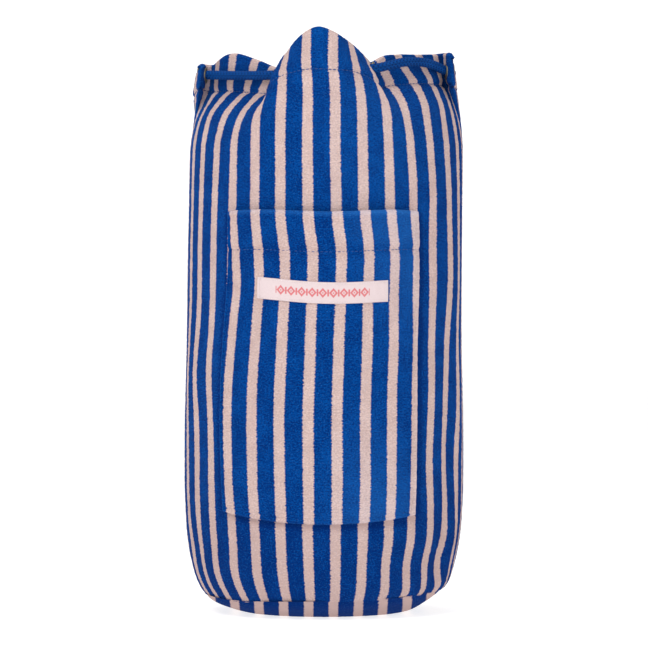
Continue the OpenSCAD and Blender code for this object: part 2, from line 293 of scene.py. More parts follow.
# ---------------------------------------------------------------- meshes
def make_mesh(name, points, faces, uv=None, nap_and_painted_light=None):
    mesh = bpy.data.meshes.new(name)
    mesh.from_pydata((np.asarray(points).reshape(-1, 3) * MM).tolist(), [], faces)
    if uv is not None:
        layer = mesh.uv_layers.new(name="cloth")
        index = np.empty(len(mesh.loops), int)
        mesh.loops.foreach_get("vertex_index", index)
        layer.data.foreach_set("uv", np.asarray(uv, float).reshape(-1, 2)[index].ravel())
        # The second map holds painted light and shade for the towelling, with some brushing of the pile.
        if nap_and_painted_light is not None:
            painted_light_and_brushing_uv = np.stack([np.ravel(nap_and_painted_light), np.ravel(nap_and_painted_light) * 0], -1)
            mesh.uv_layers.new(name="nap_and_painted_light").data.foreach_set("uv", painted_light_and_brushing_uv[index].ravel())
    mesh.polygons.foreach_set("use_smooth", [True] * len(mesh.polygons))
    mesh.update()
    piece = bpy.data.objects.new(name, mesh)
    bpy.context.scene.collection.objects.link(piece)
    return piece


def grid_faces(nu, nv, closed_u=False, closed_v=False, start=0):
    """Quads of a grid whose point (i, j) is number i * nv + j."""
    i = np.arange(nu if closed_u else nu - 1)
    j = np.arange(nv if closed_v else nv - 1)
    ii, jj = crossed(i, j)
    i2, j2 = (ii + 1) % nu, (jj + 1) % nv
    quads = np.stack([ii * nv + jj, i2 * nv + jj, i2 * nv + j2, ii * nv + j2], -1) + start
    return quads.reshape(-1, 4).tolist()


def end_caps(rows, n):
    """The two end faces of a tube of rows rings with n points each."""
    return [list(range(n))[::-1], list(range((rows - 1) * n, rows * n))]


def pile(shape, amount):
    """Random height of the looped pile over a grid of points, a little smoothed along the rows."""
    h = rng.random(shape)
    side = (np.roll(h, 1, 0) + np.roll(h, -1, 0)) / 2
    up = (np.roll(h, 1, 1) + np.roll(h, -1, 1)) / 2
    return amount * (0.6 * h + 0.28 * side + 0.12 * up - 0.5)


def pieces_joined(name, parts):
    """One mesh from several (points, faces, uv) parts."""
    points, faces, uvs, n = [], [], [], 0
    for p, f, uv in parts:
        p = np.asarray(p).reshape(-1, 3)
        points.append(p)
        faces += [[k + n for k in face] for face in f]
        uvs.append(np.zeros((len(p), 2)) if uv is None else np.asarray(uv).reshape(-1, 2))
        n += len(p)
    return make_mesh(name, np.concatenate(points), faces, np.concatenate(uvs))


# ---------------------------------------------------------------- node materials
class Value:
    """A node's output. Sums and products of values make math nodes."""

    def __init__(self, material, socket):
        self.material, self.socket = material, socket

    def __add__(self, other):
        return self.material.math("ADD", self, other)

    def __sub__(self, other):
        return self.material.math("SUBTRACT", self, other)

    def __mul__(self, other):
        return self.material.math("MULTIPLY", self, other)

    def __abs__(self):
        return self.material.math("ABSOLUTE", self)


class Material:
    """A principled material whose nodes are made one by one."""

    def __init__(self, name):
        self.made = bpy.data.materials.new(name)
        self.made.use_nodes = True
        self.shader = self.made.node_tree.nodes["Principled BSDF"]

    def connect(self, value, socket):
        if isinstance(value, Value):
            self.made.node_tree.links.new(value.socket, socket)
        else:
            socket.default_value = value

    def node(self, kind, inputs=None, output=0, **props):
        n = self.made.node_tree.nodes.new(kind)
        for key, value in props.items():
            setattr(n, key, value)
        for key, value in (inputs or {}).items():
            self.connect(value, n.inputs[key])
        return Value(self, n.outputs[output])

    def math(self, operation, *values):
        return self.node("ShaderNodeMath", dict(enumerate(values)), operation=operation)

    def ramp(self, value, start, end, low=0.0, high=1.0, kind="SMOOTHSTEP"):
        return self.node("ShaderNodeMapRange", {"Value": value, "From Min": start, "From Max": end,
                                                "To Min": low, "To Max": high}, interpolation_type=kind)

    def line(self, value, start, end, low=0.0, high=1.0):
        return self.ramp(value, start, end, low, high, "LINEAR")

    def mix(self, factor, a, b):
        return self.node("ShaderNodeMix", {0: factor, 6: a, 7: b}, output=2, data_type="RGBA")

    def noise(self, vector, scale, detail=2.0, rough=0.5):
        """Noise of one scale, or of a scale for each axis."""
        if isinstance(scale, tuple):
            vector = self.node("ShaderNodeVectorMath", {0: vector, 1: scale}, operation="MULTIPLY")
            scale = 1.0
        return self.node("ShaderNodeTexNoise", {"Vector": vector, "Scale": scale, "Detail": detail,
                                                "Roughness": rough})

    def cloth_map(self, name="cloth"):
        uv = self.node("ShaderNodeUVMap", uv_map=name)
        return uv, *(self.node("ShaderNodeSeparateXYZ", {0: uv}, output=k) for k in (0, 1))

    def where(self):
        return self.node("ShaderNodeTexCoord", output="Object")

    def finish(self, colour, roughness, height=None, strength=0.0, distance=0.0, **constants):
        """Links the shader, with a bump from the height, and sets its other sockets."""
        self.connect(colour, self.shader.inputs["Base Color"])
        self.connect(roughness, self.shader.inputs["Roughness"])
        for key, value in constants.items():
            self.shader.inputs[key.replace("_", " ")].default_value = value
        if height:
            dent = self.node("ShaderNodeBump", {"Height": height, "Strength": strength, "Distance": distance})
            self.connect(dent, self.shader.inputs["Normal"])
        return self.made


# The deep colours serve both crushed-pile tone and painted shade; the fleck blue serves both fibre tips and
# painted sheen.
BLUE = (0.0014, 0.082, 0.37, 1)
BLUE_DEEP_AND_SHADED = (0.0003, 0.022, 0.150, 1)
PINK = (0.78, 0.60, 0.555, 1)
PINK_DEEP_AND_SHADED = (0.54, 0.38, 0.35, 1)
FLECK_AND_SHEEN = (0.09, 0.34, 0.78, 1)
TURN = 2 * math.pi


def towelling():
    """Sheared pile in rows, blue with pale pink stripes. The cloth map counts stripe pitches both ways; the
    second map carries painted light and shade, with some brushing of the pile: lighter above 0 and darker
    below."""
    m = Material("towelling")
    uv, u, v = m.cloth_map()
    jag_rows = m.noise(uv, (4.0, 20.0, 1.0), 1.0, 0.6)
    jag_fine = m.noise(uv, (26.0, 34.0, 1.0), 2.0, 0.7)
    drift = m.noise(uv, (0.7, 0.4, 1.0))
    place = u + (jag_rows * 0.12 + jag_fine * 0.08 + drift * 0.05 - 0.125)
    away = abs(m.math("FRACT", place + 0.5) - 0.5)
    pink = m.ramp(away, 0.205, 0.170)
    tuft = m.noise(uv, (15.0, 19.0, 1.0), 2.0, 0.6)
    fuzz = m.noise(uv, (85.0, 60.0, 1.0), 2.0, 0.7)
    rows = m.math("SINE", v * (20.0 * TURN))
    height = fuzz * 0.55 + tuft * 0.8 + rows * 0.07
    # Painted shade in the pile: where the bump height is low, between tufts and rows, the colour is darker.
    light = m.line(height, 0.46, 0.90, -0.25, 1.1)
    crush = m.noise(uv, (1.6, 1.3, 1.0), 3.0, 0.6)
    nap_and_painted_light = m.cloth_map("nap_and_painted_light")[1]
    # Crushed-pile tone that varies at random, with the painted pile shade above and the painted light and
    # shade of the second map.
    mottle_and_shade = crush * 1.1 + light * 1.15 - 0.62 + nap_and_painted_light
    striped = m.mix(pink, m.mix(mottle_and_shade, BLUE_DEEP_AND_SHADED, BLUE), m.mix(mottle_and_shade, PINK_DEEP_AND_SHADED, PINK))
    tips = m.noise(uv, (19.0, 25.0, 1.0), 1.0)
    fleck = m.ramp(tips, 0.58, 0.76) * 0.20
    # Painted sheen: where the second map is above 0, the colour is lifted towards the pale fleck blue.
    raised = m.line(nap_and_painted_light, 0.0, 0.6, 0.0, 0.16)
    return m.finish(m.mix(raised + fleck, striped, FLECK_AND_SHEEN), m.line(fuzz, 0.2, 0.8, 0.88, 1.0), height, 0.85,
                    0.0008, Sheen_Weight=0.02, Sheen_Roughness=0.4, Sheen_Tint=(0.75, 0.85, 1.0, 1),
                    Specular_IOR_Level=0.02)


def woven(name, light, dark, pitch):
    """A plain weave from two crossed waves. The cloth map is in millimetres."""
    m = Material(name)
    uv, u, v = m.cloth_map()
    weave = m.math("SINE", u * (TURN / pitch)) * m.math("SINE", v * (TURN / pitch))
    slubs = m.noise(uv, (0.35, 1.6, 1.0), 2.0, 0.6)
    shade = m.line(weave * 0.22 + slubs, 0.15, 0.85)
    return m.finish(m.mix(shade, dark, light), m.line(slubs, 0.2, 0.8, 0.77, 0.91), shade, 0.4, 0.0003,
                    Sheen_Weight=0.1)


def label_satin():
    """Pale satin ribbon with a row of woven coral lozenges and bars. The cloth map is in millimetres from
    the label's middle."""
    m = Material("label_satin")
    uv, u, v = m.cloth_map()
    repeat = 7.0
    across = abs(m.math("FRACT", u * (1 / repeat) + 0.5) - 0.5) * repeat
    up = abs(v)
    ragged = m.noise(uv, (3.0, 5.0, 1.0), 1.0)
    ring = abs(across * 1.15 + up - 2.5)
    lozenge = m.ramp(ring + (ragged * 0.5 - 0.25), 1.05, 0.75)
    bar = m.ramp(across, 2.85, 3.0) * m.ramp(up, 2.5, 2.2)
    seed = m.ramp(across + up, 0.8, 0.5)
    inside = m.ramp(abs(u), 31.6, 31.4) * m.ramp(up, 3.9, 3.6)
    marks = m.math("MAXIMUM", m.math("MAXIMUM", lozenge, bar), seed) * inside
    ribs = m.math("SINE", v * (TURN / 0.42))
    warp = m.noise(uv, (0.5, 7.0, 1.0), 2.0, 0.6)
    shade = ribs * 0.12 + warp
    ground = m.mix(shade, (0.60, 0.47, 0.475, 1), (0.80, 0.68, 0.69, 1))
    coral = m.mix(shade, (0.52, 0.12, 0.14, 1), (0.76, 0.24, 0.25, 1))
    return m.finish(m.mix(marks, ground, coral), m.line(warp, 0.2, 0.8, 0.42, 0.58), marks * 0.5 + shade,
                    0.35, 0.0002, Specular_IOR_Level=0.25, Anisotropic=0.4)


def braid_material(name, light, dark, strands):
    """Yarn of a round braid. The cloth map holds turns of the braid along, and turns round the cord."""
    m = Material(name)
    uv, u, v = m.cloth_map()
    ridges = [m.math("COSINE", (u * hand + v) * (TURN * strands)) for hand in (1.0, -1.0)]
    fibre = m.noise(uv, (55.0, 90.0, 1.0), 2.0, 0.6)
    patch = m.noise(uv, (1.5, 2.0, 1.0), 1.0)
    shade = m.line(patch * 0.3 + (m.math("MAXIMUM", *ridges) * 0.34 + fibre * 0.5), 0.05, 0.85)
    return m.finish(m.mix(shade, dark, light), m.line(fibre, 0.2, 0.8, 0.6, 0.8), shade, 0.9, 0.0008,
                    Specular_IOR_Level=0.08)


def thread_material(name, light, dark):
    m = Material(name)
    twist = m.node("ShaderNodeTexWave", {"Vector": m.where(), "Scale": 900.0, "Distortion": 1.5}, output=1,
                   bands_direction="DIAGONAL")
    return m.finish(m.mix(twist, dark, light), m.line(twist, 0.0, 1.0, 0.45, 0.65), twist, 0.4, 0.0001)


def metal_material(name, light, dark, roughness):
    m = Material(name)
    cloud = m.noise(m.where(), 180.0, 3.0, 0.6)
    scratch = m.noise(m.where(), (2600.0, 300.0, 300.0), 2.0, 0.7)
    worn = m.line(scratch, 0.25, 0.75, roughness - 0.08, roughness + 0.1)
    return m.finish(m.mix(cloud, dark, light), worn, scratch, 0.12, 0.00005, Metallic=1.0)


def plastic_material(name, light, dark):
    m = Material(name)
    grain = m.noise(m.where(), 2400.0, 2.0, 0.6)
    cloud = m.noise(m.where(), 90.0)
    return m.finish(m.mix(cloud, dark, light), m.line(grain, 0.2, 0.8, 0.38, 0.52), grain, 0.18, 0.00008)


TOWELLING = towelling()
LINING = woven("lining", (0.78, 0.77, 0.73, 1), (0.60, 0.59, 0.55, 1), 0.9)
BINDING = woven("binding", (0.58, 0.62, 0.68, 1), (0.40, 0.44, 0.50, 1), 1.4)
LABEL = label_satin()
CORD = braid_material("cord", (0.0018, 0.078, 0.34, 1), (0.0002, 0.008, 0.075, 1), 6)
THREAD = thread_material("thread", (0.010, 0.075, 0.30, 1), (0.003, 0.035, 0.17, 1))
LABEL_THREAD = thread_material("label_thread", (0.86, 0.80, 0.80, 1), (0.66, 0.56, 0.56, 1))
BRASS = metal_material("antique_brass", (0.40, 0.35, 0.22, 1), (0.22, 0.19, 0.12, 1), 0.36)
STEEL = metal_material("steel", (0.70, 0.71, 0.73, 1), (0.52, 0.53, 0.55, 1), 0.22)
PLASTIC = plastic_material("lock_nylon", (0.012, 0.055, 0.20, 1), (0.008, 0.035, 0.14, 1))


def settle(piece, material, slot, body, *nodes):
    """Gives a piece its material and body, and lets it stand for its CAD nodes. The slot is not used."""
    piece.data.materials.append(material)
    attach(piece, body)
    if nodes:
        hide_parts(*nodes)
    return piece


# ---------------------------------------------------------------- the towelling wall and its hem
POCKET_LEFT = [(60, -44.4), (75, -44.5), (130, -45.2), (165, -45.0), (205, -43.4), (240, -42.0), (285, -42.6)]
POCKET_RIGHT = [(60, 38.0), (75, 38.2), (110, 38.6), (178, 39.8), (258, 41.4), (270, 41.0), (285, 40.2)]
COLUMNS = 540
ROW_STEP = 1.2
RIM_R = 1.9
HEM_INSIDE = 3.8


def wall_relief(a, h):
    """How far the pile's mean surface stands off the cloth surface: seam, hem stitching and puckers."""
    pucker = np.sin(np.radians(a) * 97) * np.sin(np.radians(a) * 41 + 1.3) * bump(h, HEM_H, 9)
    return (0.55 * smooth((h - HEM_H) / 6) - 1.1 * bump(h, HEM_H, 1.5) + 0.35 * pucker
            - 0.8 * bump(h, 0, 2.6))


def wander(a, z):
    """The angle by which the handled cloth carries its stripes off their even places. Shifts are in mm to
    the right: the right side swings left low down and right higher up, the left side is pulled left, and
    both spread at the base and under the hem."""
    b = signed(a)
    right, left = smooth((b - 8) / 37), smooth((-b - 5) / 40)
    high = smooth((z - 180) / 60) * smooth((385 - z) / 20)
    right_side = (2.4 * bump(z, 18, 9) - 1.8 * bump(z, 40, 11) - 2.8 * bump(z, 108, 38) + 2.1 * high
                  + 1.3 * bump(z, 357, 12))
    left_side = (-1.9 * bump(z, 31, 14) - 2.9 * bump(z, 170, 32) - 0.8 * bump(z, 265, 40)
                 - 2.4 * bump(z, 350, 11))
    shift = right * right_side + left * left_side + 0.8 * high * bump(b, 5, 25)
    fade = mix(smooth((128 - np.abs(b)) / 55), smooth((87 - np.abs(b)) / 17), smooth((z - 335) / 25))
    return np.degrees(shift / BARREL_R) / np.maximum(np.cos(np.radians(b)), 0.42) * fade


def wall_painted_light_and_patches(a, z):
    """Painted light in the pile's colour: painted shade towards the base and in narrow bands beside the
    pocket's sides and under its foot, a painted highlight at the far left side, and faint lighter and darker
    areas.
    """
    b = signed(a)
    edge = np.minimum(np.abs(b - curve_through(POCKET_LEFT, z) + 1.6),
                      np.abs(b - curve_through(POCKET_RIGHT, z) - 2.0))
    # Painted shadow: a narrow darker band beside the pocket's side edges, and one under its foot.
    beside = bump(edge, 0, 1.7) * smooth((282 - z) / 6) * smooth((z - 66) / 8)
    under = bump(z, 65 + 6.7 * (b / 42) ** 2, 2.6) * smooth((43 - np.abs(b)) / 4)
    # A painted highlight at the far left side; the other terms are faint lighter and darker areas.
    highlight_and_patches = (0.10 * bump(b, -84, 10) - 0.05 * bump(b, 62, 14) - 0.05 * bump(b, -64, 12)
               + 0.06 * np.sin(np.radians(b * 3.1 + 20)) * np.sin(z / 47 + 0.6))
    # Painted shade: the cloth gets darker towards the base.
    return highlight_and_patches - 0.55 * np.maximum(beside, under) - 0.34 * smooth((130 - z) / 110)


def build_wall():
    a = np.arange(COLUMNS) * 360 / COLUMNS
    h_out = np.arange(0, CLOTH_H, ROW_STEP)
    turn = np.radians(np.arange(0, 181, 22.5))
    h_in = np.arange(CLOTH_H - 1.0, CLOTH_H - HEM_W, -1.6)
    h = np.concatenate([h_out, np.full(len(turn), CLOTH_H), h_in, [CLOTH_H - HEM_W]])
    out = np.concatenate([np.zeros(len(h_out)), -RIM_R + RIM_R * np.cos(turn),
                          np.full(len(h_in), -HEM_INSIDE), [-2.6]])
    lift = np.concatenate([np.zeros(len(h_out)), RIM_R * np.sin(turn) - 0.6, np.zeros(len(h_in) + 1)])
    along = np.concatenate([h_out, CLOTH_H + np.radians(180) * RIM_R * np.linspace(0, 1, len(turn)),
                            CLOTH_H + 6 + (CLOTH_H - h_in), [CLOTH_H + 6 + HEM_W]])
    aa, hh = crossed(a, h)
    inside = np.concatenate([np.zeros(len(h_out)), np.linspace(0, 1, len(turn)), np.ones(len(h_in) + 1)])
    tight = bump(aa, 266.6, 6) + bump(aa, 89.8, 6)
    out = out + 1.7 * tight * (inside >= 1)
    relief = wall_relief(aa, hh) * (1 - 2 * inside) + pile(aa.shape, 0.55) * np.where(inside < 1, 1, -0.6)
    points = on_wall(aa, hh, out + relief, np.broadcast_to(lift, aa.shape))
    phase = (aa - wander(aa, points[..., 2]) - STRIPE_FIRST) / STRIPE_ANGLE
    uv = np.stack([phase, np.broadcast_to(along / STRIPE_PITCH, aa.shape)], -1)
    faces = grid_faces(COLUMNS, len(h), closed_u=True)
    piece = wrapped_uv_mesh("towelling_wall", points, faces, uv, wall_painted_light_and_patches(aa, points[..., 2]))
    return settle(piece, TOWELLING, "towelling", "bag", "wall_panel", "mouth_facing")


def wrapped_uv_mesh(name, points, faces, uv, nap_and_painted_light=None):
    """A mesh closed round the bag. Where a face crosses the start, its map runs on and doesn't jump back."""
    piece = make_mesh(name, points, faces, uv, nap_and_painted_light=nap_and_painted_light)
    layer = piece.data.uv_layers["cloth"]
    flat = np.empty(len(layer.data) * 2)
    layer.data.foreach_get("uv", flat)
    corner = flat.reshape(-1, 4, 2)
    span = corner[..., 0].max(1) - corner[..., 0].min(1)
    low = corner[..., 0] < corner[..., 0].max(1, keepdims=True) - STRIPE_COUNT / 2
    corner[..., 0] += np.where(low & (span[:, None] > STRIPE_COUNT / 2), STRIPE_COUNT, 0)
    layer.data.foreach_set("uv", corner.ravel())
    return piece


wall_piece = build_wall()


# ---------------------------------------------------------------- base
BASE_PROFILE = [(0, 0.2), (30, 0.2), (50, 0.3), (57, 0.9), (63, 2.4), (70, 4.9), (77, 7.9), (84.5, 12.6)]


def base_point(x, y, d):
    """A height of the domed base at plan x, y and a depth d inside its outer face."""
    r = np.hypot(x, y)
    lift = seam_lift(np.degrees(np.arctan2(x, -y))) * smooth((r - 60) / 24)
    return curve_through(BASE_PROFILE, r) + d + lift


def disc_grid(r, spokes):
    """Radii, x and y of a disc's points, ring by ring."""
    rr, tt = crossed(r, circle(spokes))
    return rr, rr * np.sin(tt), -rr * np.cos(tt)


def build_base():
    rings, spokes = 90, 240
    rr, x, y = disc_grid(np.linspace(0, 1, rings) ** 0.85 * (SEAM_R + 0.3), spokes)
    z = base_point(x, y, 0.0) + 1.5 * bump(rr, SEAM_R, 2.0)
    nubs = pile(rr.shape, 0.5) * np.minimum(rr / 8, 1)
    z = np.maximum(z - nubs * 0.5, 0.05)
    points = np.stack([x, y, z], -1)
    uv = np.stack([(x - 6.4) / 17.05, y / 17.05], -1)
    faces = [f[::-1] for f in grid_faces(rings, spokes, closed_v=True)]
    # Painted shade: the whole base disc is darkened, as the shaded underside.
    base = make_mesh("base_disc", points, faces, uv, nap_and_painted_light=-0.75 + 0.0 * x)
    return settle(base, TOWELLING, "towelling", "bag", "base_panel")


base_piece = build_base()


# ---------------------------------------------------------------- stitches
def capsule(start, end, radius, sides=6):
    """A short stitch: a tube with pinched ends, from start to end."""
    along = end - start
    side = unit(np.cross(along, [0.31, 0.27, 0.91]))
    other = np.cross(unit(along), side)
    turn = circle(sides)
    ring = radius * (np.cos(turn)[:, None] * side + np.sin(turn)[:, None] * other)
    stations = [(0.0, 0.35), (0.18, 0.9), (0.5, 1.0), (0.82, 0.9), (1.0, 0.35)]
    points = np.concatenate([start + along * s + ring * w for s, w in stations])
    faces = grid_faces(len(stations), sides, closed_v=True)
    return points, faces + end_caps(len(stations), sides), None


def stitch_line(path, radius, pitch):
    """A row of stitches along a path of points, with a gap between each two."""
    step = np.linalg.norm(np.diff(path, axis=0), axis=1)
    along = np.concatenate([[0], np.cumsum(step)])
    count = int(along[-1] / pitch)
    parts = []
    for k in range(count):
        ends = [(k + 0.1) * along[-1] / count, (k + 0.86) * along[-1] / count]
        p, q = (np.array([np.interp(s, along, path[:, c]) for c in range(3)]) for s in ends)
        parts.append(capsule(p, q, radius))
    return parts


def stitched(name, paths, radius, pitch, material, slot, *nodes):
    parts = [s for path in paths for s in stitch_line(path, radius, pitch)]
    return settle(pieces_joined(name, parts), material, slot, "bag", *nodes)


ring_a = np.linspace(0, 360, 721)
for seam, height, depth in (("hem", HEM_H, 0.85), ("base", 2.2, 0.9)):
    stitched(f"{seam}_stitches", [on_wall(ring_a, 0 * ring_a + height, 0 * ring_a - depth)],
             0.32, 3.1, THREAD, "thread", f"{seam}_stitching")


# ---------------------------------------------------------------- the pocket
POCKET_TOP = 278.5
POCKET_FOOT = 66.8
POCKET_FOOT_RISE = 6.7
POCKET_T = 3.6
POCKET_HEM = 26
POCKET_STRIPE = 10.9
POCKET_FIRST = 5.6
POCKET_LEAN = [(67, -0.3), (84, -0.45), (138, -0.9), (192, 0.05), (250, 0.9), (279, 1.1)]
EDGE = 2.4


def edge_steps(length, step=1.2):
    """Distances along an edge: close together over the rounded ends, then even."""
    ends = np.array([0, 0.25, 0.7, 1.3, 1.9])
    middle = np.arange(EDGE + 0.1, length - EDGE, step)
    return np.concatenate([ends, middle, length - ends[::-1]])


def rounded(e, width=EDGE):
    """Height of a rounded edge, from 0 at the edge to 1 past its width."""
    return np.sqrt(np.clip(1 - (1 - np.clip(e / width, 0, 1)) ** 2, 0, 1))


def pocket_place(s, t):
    """Angle and cloth height of a pocket point: s from 0 at the left edge to 1, t from 0 at the foot to 1."""
    z = POCKET_FOOT + t * (POCKET_TOP - POCKET_FOOT)
    a = mix(curve_through(POCKET_LEFT, z), curve_through(POCKET_RIGHT, z), s)
    foot = POCKET_FOOT + POCKET_FOOT_RISE * (a / 42) ** 2
    z = foot + t * (POCKET_TOP - foot + 0.8 * np.sin(s * 9))
    return a, height_of(a, z)


POCKET_W = 147.0
POCKET_H = POCKET_TOP - POCKET_FOOT


def pocket_out(s, t):
    """How far the pocket's face stands off the wall."""
    e_side = np.minimum(s, 1 - s) * POCKET_W
    e_foot = t * POCKET_H
    e_top = (1 - t) * POCKET_H
    e = np.minimum(e_side, e_foot)
    belly = np.clip(np.sin(np.pi * s), 0, 1) ** 0.6 * smooth(e_foot / 30)
    hem = 0.5 * smooth((POCKET_HEM - e_top) / 4) - 0.9 * bump(e_top, POCKET_HEM, 1.4)
    stitch = -1.0 * bump(e, 3.4, 0.9) * (e_top > 1)
    pucker = 0.25 * np.sin(s * 151) * bump(e_top, POCKET_HEM, 8) + 0.2 * np.sin(t * 210) * bump(e_side, 4, 4)
    lift = 1.3 * smooth((60 - e_top) / 60) * np.clip(np.sin(np.pi * s), 0, 1) ** 0.5
    return rounded(e) * (POCKET_T + 1.6 * belly + hem + stitch + pucker + lift)


def pocket_shift(s, level):
    """How far in mm the pocket's stripes lie to the right of their even places: its top edge has slipped
    left, and its left side bulges right beside the label."""
    slipped = smooth((level - 245) / 35)
    left = 2.0 * bump(level, 226, 18) - 1.7 * smooth((205 - level) / 50) - 1.7 * slipped
    middle = -1.3 * bump(level, 66, 35) - 3.9 * slipped
    right = 0.8 * bump(level, 188, 25) - 2.1 * smooth((150 - level) / 85) - 3.1 * slipped
    return mix(mix(left, middle, smooth(s * 2)), right, smooth(s * 2 - 1))


def build_pocket():
    s = edge_steps(POCKET_W) / POCKET_W
    t_face = edge_steps(POCKET_H)[:-5] / POCKET_H
    turn = np.radians(np.arange(0, 181, 22.5))
    inside = np.arange(1.0, POCKET_HEM, 2.0) / POCKET_H
    t = np.concatenate([t_face, np.ones(len(turn)), 1 - inside])
    fold = np.concatenate([np.zeros(len(t_face)), turn, np.full(len(inside), np.pi)])
    ss, tt = crossed(s, t)
    _, ff = crossed(s, fold)
    a, h = pocket_place(ss, tt)
    face = pocket_out(ss, np.minimum(tt, 1)) + pile(ss.shape, 0.5) * np.where(ff < np.pi, 1, 0.3)
    edge = rounded(np.minimum(ss, 1 - ss) * POCKET_W)
    thick = 1.65 * edge
    out = face - thick + thick * np.cos(ff) + 0.1
    lift = thick * np.sin(ff)
    points = on_wall(a, h, out, lift)
    level = POCKET_FOOT + tt * POCKET_H
    shift = np.degrees(pocket_shift(ss, level) / 100) / np.cos(np.radians(a))
    lean = curve_through(POCKET_LEAN, level) + shift
    along = (h + np.where(ff > 0, lift + 2 * (ff >= np.pi), 0)) / STRIPE_PITCH
    u = (a - POCKET_FIRST - lean) / POCKET_STRIPE
    whole = np.round(u[-1:, :])
    u = mix(u, np.broadcast_to(whole, u.shape), smooth((ss * POCKET_W - POCKET_W + 4.6) / 1.2))
    from_side, from_top = np.minimum(ss, 1 - ss) * POCKET_W, (1 - tt) * POCKET_H
    # Painted highlight along the pocket's folded side and top edges.
    edge_highlight = 0.35 * smooth((2.6 - from_side) / 1.6) + 0.30 * smooth((2.4 - from_top) / 1.5)
    uv = np.stack([u, along], -1)
    # The right half is lighter: the pile's brushing, with its sheen painted into the colour. The sum adds
    # painted shade in the crease along the hem's stitch line and makes the whole pocket a little darker.
    right_half_sheen = 0.34 * smooth((ss - 0.35) / 0.5) * (0.6 + 0.4 * np.sin(tt * 5 + ss * 3))
    nap_and_painted_light = right_half_sheen + edge_highlight - 0.06 - 0.10 * bump(tt, 0.88, 0.02)
    pocket = make_mesh("patch_pocket", points, grid_faces(len(s), len(t)), uv, nap_and_painted_light=nap_and_painted_light)
    return settle(pocket, TOWELLING, "towelling", "bag", "pocket_panel", "pocket_hem")


pocket_piece = build_pocket()


def on_pocket(s, t, out=0.0):
    a, h = pocket_place(s, t)
    return on_wall(a, h, pocket_out(s, t) + out)


def pocket_paths():
    inset_s, inset_t = 3.4 / POCKET_W, 3.4 / POCKET_H
    t = np.linspace(inset_t, 1 - 2 / POCKET_H, 300)
    s = np.linspace(inset_s, 1 - inset_s, 200)
    sides = [on_pocket(0 * t + place, t, -0.1) for place in (inset_s, 1 - inset_s)]
    rows = ((inset_t, 0.0), (1 - POCKET_HEM / POCKET_H, 0.1))
    return sides + [on_pocket(s, 0 * s + place, out) for place, out in rows]


stitched("pocket_stitches", pocket_paths(), 0.30, 3.0, THREAD, "thread", "pocket_stitching")

# ---------------------------------------------------------------- the woven label
LABEL_LEFT, LABEL_RIGHT = -26.4, 25.2
LABEL_Z = 226.0
LABEL_W = 14.6
LABEL_LEN = 90.0


def label_point(x, y, out):
    """A label point from its middle, in millimetres of ribbon."""
    share = x / LABEL_LEN + 0.5
    a = mix(LABEL_LEFT, LABEL_RIGHT, share)
    z = LABEL_Z + y - 1.4 * np.sin(np.pi * share) + 1.1 * (0.5 - share) * 2
    s = (a - curve_through(POCKET_LEFT, z)) / (curve_through(POCKET_RIGHT, z) - curve_through(POCKET_LEFT, z))
    foot = POCKET_FOOT + POCKET_FOOT_RISE * (a / 42) ** 2
    t = (z - foot) / (POCKET_TOP - foot)
    return on_pocket(s, t, out)


def build_label():
    x = np.concatenate([[-LABEL_LEN / 2] * 3, np.linspace(-LABEL_LEN / 2, LABEL_LEN / 2, 120),
                        [LABEL_LEN / 2] * 3])
    drop = np.concatenate([[0.9, 0.4, 0.1], np.zeros(120), [0.1, 0.4, 0.9]])
    y = np.concatenate([[-LABEL_W / 2] * 2, np.linspace(-LABEL_W / 2, LABEL_W / 2, 26), [LABEL_W / 2] * 2])
    drop_y = np.concatenate([[0.9, 0.35], np.zeros(26), [0.35, 0.9]])
    xx, yy = crossed(x, y)
    ex = LABEL_LEN / 2 - np.abs(xx)
    ey = LABEL_W / 2 - np.abs(yy)
    wave = 0.22 * np.sin(xx * 0.33 + 0.6) * np.sin(xx * 0.11) + 0.12 * np.sin(xx * 0.9 + yy * 0.2)
    out = 0.95 + wave - 0.35 * bump(ex, 1.6, 0.8) - 0.3 * bump(ey, 1.1, 0.6)
    out = out - drop[:, None] - drop_y[None, :]
    ribbon = make_mesh("woven_label", label_point(xx, yy, out), grid_faces(len(x), len(y)),
                       np.stack([xx, yy], -1))
    return settle(ribbon, LABEL, "label_satin", "bag", "label")


label_piece = build_label()


def label_paths():
    lx, ly = LABEL_LEN / 2 - 1.6, LABEL_W / 2 - 1.1
    x, y = np.linspace(-lx, lx, 200), np.linspace(-ly, ly, 30)
    level = 0.75
    return ([label_point(x, 0 * x + place, level) for place in (-ly, ly)]
            + [label_point(0 * y + place, y, level) for place in (-lx, lx)])


stitched("label_stitches", label_paths(), 0.16, 1.7, LABEL_THREAD, "label_thread", "label_stitching")


# ---------------------------------------------------------------- lining, binding and back seam
def build_lining():
    a = np.arange(240) * 1.5
    h = np.concatenate([[1.5, 5, 10], np.linspace(16, HEM_H - 10, 110)])
    aa, hh = crossed(a, h)
    crease = 0.35 * np.sin(np.radians(aa) * 17 + hh * 0.02) + 0.3 * np.sin(np.radians(aa) * 29 - hh * 0.05)
    inset = 3.1 + 2.2 * bump(hh, 3, 6)
    points = on_wall(aa, hh, -inset - 0.5 * crease)
    uv = np.stack([aa * 1.7, hh], -1)
    faces = [f[::-1] for f in grid_faces(240, len(h), closed_u=True)]
    return settle(make_mesh("lining_tube", points, faces, uv), LINING, "lining", "bag", "lining_wall")


